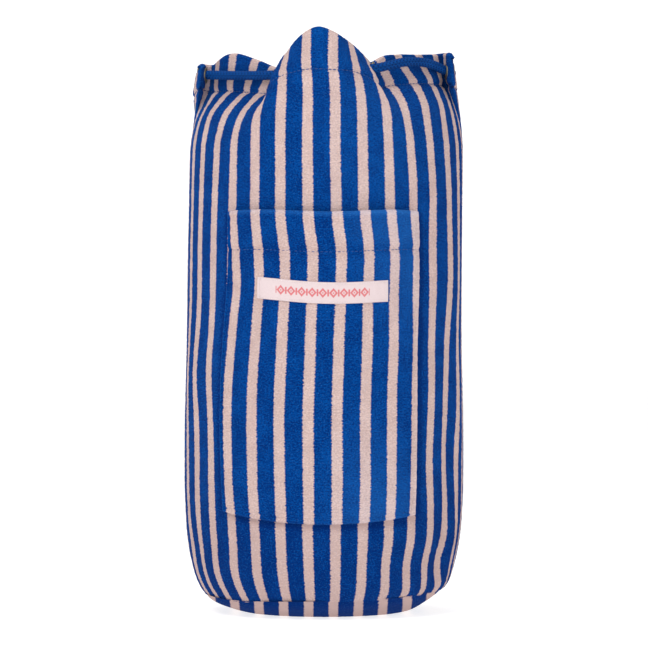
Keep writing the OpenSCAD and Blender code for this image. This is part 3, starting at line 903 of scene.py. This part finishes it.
def build_lining_base():
    rings, spokes = 40, 160
    _, x, y = disc_grid(np.linspace(0, 78.5, rings), spokes)
    z = base_point(x, y, 3.6) + 0.4 * np.sin(x * 0.13 + 1) * np.sin(y * 0.11)
    faces = grid_faces(rings, spokes, closed_v=True)
    disc = make_mesh("lining_disc", np.stack([x, y, z], -1), faces, np.stack([x, y], -1))
    return settle(disc, LINING, "lining", "bag", "lining_base")


def build_binding():
    rows = [(80.0, 17.4), (81.0, 17.4), (81.2, 15.6), (81.0, 14.0), (80.1, 14.0), (79.8, 15.6)]
    spokes = 240
    turn = circle(spokes)
    points = np.array([[(r * math.sin(t), -r * math.cos(t), z + seam_lift(math.degrees(t))) for r, z in rows]
                       for t in turn])
    uv = np.array([[(t * 81, k * 1.5) for k in range(len(rows))] for t in turn])
    faces = grid_faces(spokes, len(rows), closed_u=True, closed_v=True)
    tape = make_mesh("seam_binding", points, faces, uv)
    return settle(tape, BINDING, "binding_tape", "bag", "base_binding")


def build_back_seam():
    """The felled seam at the back: a raised strip with two rows of stitching."""
    x = np.array([-5.2, -5.0, -4.5, -3.6, -2.6, -1.3, 0, 1.3, 2.6, 3.6, 4.5, 5.0, 5.2])
    h = np.arange(3, 310, 1.3)
    xx, hh = crossed(x, h)
    out = 0.2 + 1.5 * rounded(5.2 - np.abs(xx), 1.6) - 0.8 * bump(np.abs(xx), 3.0, 0.7)
    out += pile(xx.shape, 0.4) * (np.abs(xx) < 5)
    a = 180 + xx / 98 * 57.3
    uv = np.stack([(a - STRIPE_FIRST) / STRIPE_ANGLE, hh / STRIPE_PITCH], -1)
    strip = make_mesh("felled_seam", on_wall(a, hh, out), grid_faces(len(x), len(h)), uv)
    settle(strip, TOWELLING, "towelling", "bag", "back_seam")
    rows = [on_wall(np.full(300, 180 + side * 3.0 / 98 * 57.3), np.linspace(4, 308, 300), np.full(300, 1.1))
            for side in (-1, 1)]
    stitched("back_seam_stitches", rows, 0.38, 3.0, THREAD, "thread")


lining_piece = build_lining()
lining_disc = build_lining_base()
build_binding()
build_back_seam()


# ---------------------------------------------------------------- eyelets
def revolved(profile, centre, normal, sides=48):
    """Turns a closed (radius, height) profile about an axis through centre."""
    across = unit(np.cross(normal, [0, 0, 1.0]))
    other = np.cross(normal, across)
    turn = circle(sides)
    points = np.array([[centre + normal * z + r * (math.cos(t) * across + math.sin(t) * other)
                        for r, z in profile] for t in turn])
    return points, grid_faces(sides, len(profile), closed_u=True, closed_v=True), None


EYELET_FRONT = [(4.0, -4.4), (4.0, 0.8), (4.2, 1.3), (4.6, 1.5), (5.1, 1.35), (5.6, 0.9), (5.95, 0.5),
                (6.0, 0.2), (5.8, 0.0), (5.2, 0.2), (4.7, 0.2), (4.5, -4.4)]
EYELET_BACK = [(4.6, -4.6), (4.9, -5.0), (5.4, -4.9), (5.8, -4.6), (6.0, -4.2), (5.8, -3.9), (5.2, -4.0),
               (4.6, -4.0)]


def build_eyelets():
    for name, profile, node in (("eyelet_rings", EYELET_FRONT, "eyelets"),
                                ("eyelet_back_washers", EYELET_BACK, "eyelet_washers")):
        parts = [revolved(profile, *eyelet_place(k)) for k in range(len(EYELETS))]
        settle(pieces_joined(name, parts), BRASS, "eyelet_metal", "bag", node)


build_eyelets()

# ---------------------------------------------------------------- cords
CORD_D = 6.5
BRAID_STRANDS = 6
BRAID_PITCH = 19.0


def spline_points(route, step):
    """Even points along a smooth curve through the route."""
    route = np.asarray(route, float)
    ends = np.vstack([2 * route[0] - route[1], route, 2 * route[-1] - route[-2]])
    t = np.linspace(0, 1, 24, endpoint=False)
    w = cubic_weights(t)
    fine = np.concatenate([w @ ends[i:i + 4] for i in range(len(route) - 1)] + [route[-1:]])
    along = np.concatenate([[0], np.cumsum(np.linalg.norm(np.diff(fine, axis=0), axis=1))])
    even = np.linspace(0, along[-1], int(along[-1] / step) + 1)
    return np.stack([np.interp(even, along, fine[:, c]) for c in range(3)], -1), even


def transported_frames(points):
    """Two cross directions along the curve that don't twist."""
    along = unit(np.gradient(points, axis=0))
    side, sides = np.cross(along[0], [0.2, 0.3, 0.9]), []
    for d in along:
        side = unit(side - d * np.dot(side, d))
        sides.append(side)
    return np.array(sides), np.cross(along, sides)


def braid_tube(route, diameter=CORD_D, step=0.55, around=36, taper_start=0.0, taper_end=0.0):
    """A round braid: two sets of strands that cross over and under one another."""
    centre, s = spline_points(route, step)
    side, other = transported_frames(centre)
    theta = circle(around)
    ss, tt = crossed(s, theta)
    turns = ss / BRAID_PITCH
    ridge = [np.abs(np.cos((hand * turns * 2 * np.pi + tt) * BRAID_STRANDS / 2)) for hand in (1, -1)]
    over = np.cos(turns * 2 * np.pi * BRAID_STRANDS)
    knit = np.maximum(ridge[0] * (0.86 + 0.14 * over), ridge[1] * (0.86 - 0.14 * over))
    radius = diameter / 2 * (0.84 + 0.17 * knit) + 0.03 * (rng.random(ss.shape) - 0.5)
    if taper_start:
        radius *= rounded(ss, taper_start) * 0.98 + 0.02
    if taper_end:
        radius *= rounded(s[-1] - ss, taper_end) * 0.98 + 0.02
    points = centre[:, None] + radius[..., None] * (np.cos(tt)[..., None] * side[:, None]
                                                   + np.sin(tt)[..., None] * other[:, None])
    uv = np.stack([turns, tt / (2 * np.pi)], -1)
    n = len(s)
    return points, grid_faces(n, around, closed_v=True) + end_caps(n, around), uv, centre


CORD_LEFT = [(-35, 61.5, 377), (-41, 57, 377), (-50, 51, 377), (-62, 42, 377.5), (-74, 28, 378),
             (-83, 15, 378.4), (-87.2, 3, 378.6), (-86.6, -5, 378.5), (-83, -10, 378.2), (-77, -16.5, 377.8),
             (-68, -26.5, 376.8), (-56, -39.5, 375.8), (-44, -52, 374.9), (-37, -59, 374.6),
             (-31.5, -63, 374.6), (-24, -64.5, 375), (-12, -64, 375.6)]
CORD_RIGHT = [(0, -63.5, 376.4), (12, -63.5, 377.2), (24, -63.5, 378), (32, -62.5, 378.8), (38.5, -60, 379.8),
              (46, -54.5, 382), (57, -45, 384.8), (68, -33, 385.6), (77, -22, 384.2), (82.5, -14.5, 382.2),
              (87, -9.5, 380.6), (90, -3, 380), (88.6, 8, 379.6), (81, 22, 379), (70, 35, 378.4),
              (58, 46, 377.8), (46, 55, 377.2), (40, 59, 377), (35, 61.5, 377)]
TAIL = [(35, 61.5, 377), (29, 69, 378.5), (22, 80, 379.5), (16, 91, 379), (11, 101, 376), (7, 108.5, 370),
        (5, 112, 362), (4.4, 113, 353), (4.4, 113, 338), (4.4, 113, 320), (4.4, 113, 300), (4.4, 113, 280),
        (4.4, 113, 250), (5.5, 113, 232), (8, 113, 214), (10.5, 113, 196), (11.5, 113, 178)]
KNOT_X, KNOT_Y = 11.5, 113.0
TAIL_END = {"left": 190.0, "right": 178.0}
KNOT_H, KNOT_STUB = 15.0, 11.0


settle(make_mesh("drawcord_braid", *braid_tube(CORD_LEFT + CORD_RIGHT)[:3]), CORD, "cord", "bag", "drawcord")


def knot_parts(side, top):
    """A double overhand stopper: two wraps round the standing cord, which comes out below as a short end."""
    turns = np.linspace(0, 2.35 * 2 * np.pi, 40)
    r = 4.5 - 3.2 * np.clip(1 - turns / 1.1, 0, 1) - 3.2 * np.clip(1 - (turns[-1] - turns) / 1.1, 0, 1)
    lean = 1.6 * np.sin(turns)
    z = top - KNOT_H + 2.6 + (KNOT_H - 5.2) * turns / turns[-1]
    wrap = np.stack([side * (KNOT_X + r * np.cos(turns)), KNOT_Y + r * np.sin(turns), z + lean * 0.6], -1)
    wraps = braid_tube(wrap, 5.2, around=24, taper_start=1.5, taper_end=1.5)
    end = [(side * KNOT_X, KNOT_Y, top + 1), (side * KNOT_X, KNOT_Y, top - 8),
           (side * (KNOT_X + 0.4), KNOT_Y, top - KNOT_H - 2),
           (side * (KNOT_X + 1.4), KNOT_Y - 0.6, top - KNOT_H - KNOT_STUB)]
    stub = braid_tube(end, 6.1, around=24, taper_end=1.6)
    return [wraps[:3], stub[:3]]


def build_tails():
    for name, side in (("left", -1), ("right", 1)):
        top = TAIL_END[name]
        knot = pieces_joined(f"stopper_knot_{name}", knot_parts(side, top))
        settle(knot, CORD, "cord", "bag", f"knot_{name}")
        route = [(side * x, y, z) for x, y, z in TAIL if z > top + 8] + [(side * KNOT_X, KNOT_Y, top)]
        tube = braid_tube(route)
        tail = make_mesh(f"tail_braid_{name}", *tube[:3])
        settle(tail, CORD, "cord", "bag", f"cord_tail_{name}")
        centre = tube[3] * MM


build_tails()

# ---------------------------------------------------------------- the cord lock
LOCK_Z = 338.0
LOCK_Y = 113.0
LOCK_BACK = LOCK_Y - CORD_D / 2 - 0.15 - 2 - 5.5 - 2.5
LOCK_FRONT = LOCK_BACK + 22
LOCK_W, LOCK_H = 30.0, 16.0
LOCK_WALL = 3.3
CORD_PITCH, CORD_BORE = 8.8, 7.4
BUTTON_OUT = 5.0
PLUNGER_BACK = LOCK_BACK + 8


def stadium_ring(w, h, count=64):
    """Points of an outline with two round ends, in x and z."""
    turn = circle(count)
    c, s = np.cos(turn), np.sin(turn)
    return np.stack([np.sign(c) * (w - h) / 2 * (np.abs(c) > 1e-9) + h / 2 * c, h / 2 * s], -1)


def lofted(w, h, stations, count=64):
    """A closed solid from outlines shrunk by an inset at each distance behind the bag."""
    rings = []
    for y, inset in stations:
        ring = stadium_ring(w - 2 * inset, h - 2 * inset, count)
        rings.append(np.stack([ring[:, 0], np.full(count, y), LOCK_Z + ring[:, 1]], -1))
    n = len(stations)
    return np.array(rings), grid_faces(n, count, closed_v=True) + end_caps(n, count)


def rounded_stations(back, front, r_back, r_front, steps=5):
    turn = np.radians(np.linspace(0, 90, steps))
    low = [(back + r_back * (1 - math.sin(t)), r_back * (1 - math.cos(t))) for t in turn[::-1]]
    high = [(front - r_front * (1 - math.sin(t)), r_front * (1 - math.cos(t))) for t in turn]
    return low + high


def cut(piece, *cutters):
    """Takes the cutters out of a piece, applies the result and removes them."""
    for c in cutters:
        m = piece.modifiers.new("cut", "BOOLEAN")
        m.operation, m.solver, m.object = "DIFFERENCE", "EXACT", c
    depsgraph = bpy.context.evaluated_depsgraph_get()
    done = bpy.data.meshes.new_from_object(piece.evaluated_get(depsgraph))
    piece.modifiers.clear()
    piece.data = done
    for c in cutters:
        bpy.data.objects.remove(c, do_unlink=True)
    angle_smooth(piece)


def angle_smooth(piece, limit=40):
    """Smooth faces, with the edges sharper than the limit kept sharp."""
    mesh = piece.data
    mesh.polygons.foreach_set("use_smooth", [True] * len(mesh.polygons))
    mesh.set_sharp_from_angle(angle=math.radians(limit))


def cord_cutter(x):
    turn = circle(32)
    rings = []
    for z, r in ((-9.5, 5.2), (-7.2, CORD_BORE / 2), (7.2, CORD_BORE / 2), (9.5, 5.2)):
        rings.append(np.stack([x + r * np.cos(turn), LOCK_Y + r * np.sin(turn), np.full(32, LOCK_Z + z)], -1))
    faces = grid_faces(4, 32, closed_v=True) + end_caps(4, 32)
    return make_mesh("cutter", np.array(rings), faces)


def build_lock():
    grooves = [(LOCK_FRONT - 5.4 - 1.6 * k + d, inset) for k in (1, 0) for d, inset in
               ((-0.5, 0.0), (-0.3, 0.35), (0.3, 0.35), (0.5, 0.0))]
    stations = sorted(rounded_stations(LOCK_BACK, LOCK_FRONT, 2.6, 1.6) + grooves)
    body = make_mesh("lock_shell", *lofted(LOCK_W, LOCK_H, stations))
    well_stations = [(LOCK_BACK + 2.5, 0), (LOCK_FRONT - 0.9, 0), (LOCK_FRONT + 0.3, -0.9)]
    well = make_mesh("cutter", *lofted(LOCK_W - 2 * LOCK_WALL, LOCK_H - 2 * LOCK_WALL, well_stations))
    cut(body, well, cord_cutter(-CORD_PITCH / 2), cord_cutter(CORD_PITCH / 2))
    settle(body, PLASTIC, "lock_plastic", "cord_lock", "lock_body")
    shrink = 2 * LOCK_WALL + 0.4
    front = LOCK_FRONT + BUTTON_OUT
    crown = rounded_stations(PLUNGER_BACK, front, 0.4, 1.4)
    dish = [(front, 2.1), (front - 0.5, 2.5), (front - 0.75, 3.2)]
    plunger = make_mesh("lock_button", *lofted(LOCK_W - shrink, LOCK_H - shrink, crown + dish))
    slot_back, slot_front = PLUNGER_BACK + 2, LOCK_Y + CORD_D / 2 + 3.15
    half = (CORD_PITCH + CORD_BORE) / 2
    corners = [(x, y, LOCK_Z + z) for z in (-9, 9) for x, y in
               ((-half, slot_back), (half, slot_back), (half, slot_front), (-half, slot_front))]
    box = make_mesh("cutter", corners, [[3, 2, 1, 0], [4, 5, 6, 7], [0, 1, 5, 4], [1, 2, 6, 5], [2, 3, 7, 6],
                                        [3, 0, 4, 7]])
    cut(plunger, box)
    settle(plunger, PLASTIC, "lock_plastic", "lock_button", "lock_plunger")


def build_spring():
    turns = np.linspace(0, 4 * 2 * np.pi, 160)
    low, high = LOCK_BACK + 2.5 + 0.7, PLUNGER_BACK - 0.7
    y = mix(low, high, smooth(turns / turns[-1]) * 0.5 + turns / turns[-1] * 0.5)
    centre = np.stack([3.6 * np.cos(turns), y, LOCK_Z + 3.6 * np.sin(turns)], -1)
    side, other = transported_frames(centre)
    ring = circle(10)
    points = centre[:, None] + 0.4 * (np.cos(ring)[None, :, None] * side[:, None]
                                      + np.sin(ring)[None, :, None] * other[:, None])
    n = len(centre)
    faces = grid_faces(n, 10, closed_v=True) + end_caps(n, 10)
    return settle(make_mesh("coil_spring", points, faces), STEEL, "spring_steel", "cord_lock", "lock_spring")


build_lock()
coil = build_spring()
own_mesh(coil)

# ---------------------------------------------------------------- studio
def build_studio():
    """A round pale floor with a low rim far off."""
    turn = np.radians(np.linspace(0, 90, 10))
    r = np.concatenate([[0.01, 2.5, 6.0], 10.0 + 0.8 * np.sin(turn), [10.8]]) / MM
    z = np.concatenate([[0, 0, 0], 0.8 * (1 - np.cos(turn)), [1.7]]) / MM
    spokes = circle(72)[:, None]
    points = np.stack([r * np.cos(spokes), r * np.sin(spokes), z + 0 * spokes], -1)
    middle = [k * len(r) for k in range(72)][::-1]
    floor = make_mesh("studio_floor", points, grid_faces(72, len(r), closed_u=True) + [middle])
    m = Material("studio_floor")
    grey = m.mix(m.noise(m.where(), 3.0), (0.50, 0.50, 0.50, 1), (0.52, 0.52, 0.52, 1))
    floor.data.materials.append(m.finish(grey, 0.9, Specular_IOR_Level=0.0, Emission_Color=(1, 1, 1, 1),
                                         Emission_Strength=0.78))


def area_light(name, place, size, power):
    """A square light that faces the middle of the bag."""
    data = bpy.data.lights.new(name, "AREA")
    data.shape, data.size, data.energy = "SQUARE", size, power
    lamp = bpy.data.objects.new(name, data)
    bpy.context.scene.collection.objects.link(lamp)
    lamp.location = place
    lamp.rotation_mode = "QUATERNION"
    lamp.rotation_quaternion = (Vector((0, 0, 0.2)) - Vector(place)).to_track_quat("-Z", "Y")


def build_lights_and_camera():
    scene = bpy.context.scene
    world = bpy.data.worlds.new("studio")
    world.use_nodes = True
    sky = world.node_tree.nodes["Background"].inputs
    sky["Color"].default_value = (1.0, 1.0, 1.0, 1)
    sky["Strength"].default_value = 0.41
    scene.world = world
    area_light("key", (-0.8, -1.7, 1.9), 1.1, 30)
    area_light("fill", (1.5, -1.7, 0.9), 1.4, 7)
    area_light("top", (0.0, 0.2, 2.2), 1.4, 11)
    camera = bpy.data.objects.new("camera", bpy.data.cameras.new("camera"))
    scene.collection.objects.link(camera)
    camera.location = (0.0, -2.4, 0.203)
    camera.rotation_euler = (math.pi / 2, 0, 0)
    camera.data.sensor_width = 36
    camera.data.lens = 188.6
    scene.camera = camera
    scene.view_settings.view_transform = "Standard"


build_studio()
build_lights_and_camera()
